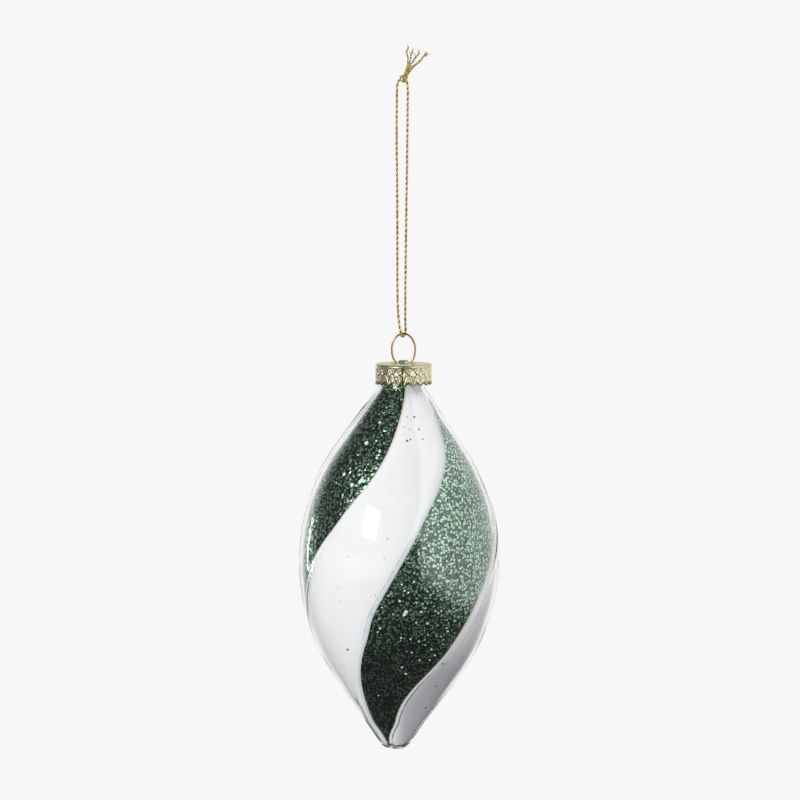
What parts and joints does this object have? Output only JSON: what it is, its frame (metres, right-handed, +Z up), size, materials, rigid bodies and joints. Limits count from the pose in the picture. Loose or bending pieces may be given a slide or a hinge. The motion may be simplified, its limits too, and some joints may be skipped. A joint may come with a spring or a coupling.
{
  "type": "icicle ornament",
  "caption": "Hanging icicle ornament: clear glass drop lined with twisted white and green glitter bands, gold pressed cap, wire bail and a knotted gold thread loop.",
  "frame": {"origin": "inside top of the thread loop, under the knot, where a hook or a twig carries the ornament", "axes": "+Z up along the hanging thread, +X to the right as the picture shows the ornament, +Y away from the viewer"},
  "size_m": [0.0713, 0.0716, 0.2495],
  "materials": {
    "clear_glass": "clear blown glass, polished",
    "white_lacquer": "opaque white lacquer lining, glossy through the glass",
    "green_glitter": "dark green glitter flakes in clear lacquer",
    "cap_gold": "pale gold, embossed, bright",
    "bail_gold": "copper gold drawn wire",
    "gold_thread": "twisted metallic thread with dark flecks"
  },
  "bodies": {
    "thread": {"thread_loop": "gold_thread", "thread_knot": "gold_thread", "thread_tail_1": "gold_thread", "thread_tail_2": "gold_thread", "thread_tail_3": "gold_thread", "thread_tail_4": "gold_thread", "thread_tail_5": "gold_thread"},
    "bail": {"bail": "bail_gold"},
    "cap": {"cap": "cap_gold"},
    "glass": {"glass_body": "clear_glass", "white_band_1": "white_lacquer", "white_band_2": "white_lacquer", "white_band_3": "white_lacquer", "glitter_band_1": "green_glitter", "glitter_band_2": "green_glitter", "glitter_band_3": "green_glitter"}
  },
  "joints": [
    {"name": "bail_swing", "type": "hinge", "parent": "thread", "child": "bail", "pos_m": [0.00075, 0, -0.0881], "axis": [1, 0, 0], "range_deg": [-90, 90]},
    {"name": "bail_slide", "type": "slide", "parent": "bail", "child": "cap", "axis": [0, 0, 1], "range_m": [0, 0.002]},
    {"name": "glass_pull_off", "type": "slide", "parent": "cap", "child": "glass", "axis": [0, 0, -1], "range_m": [0, 0.024]}
  ]
}
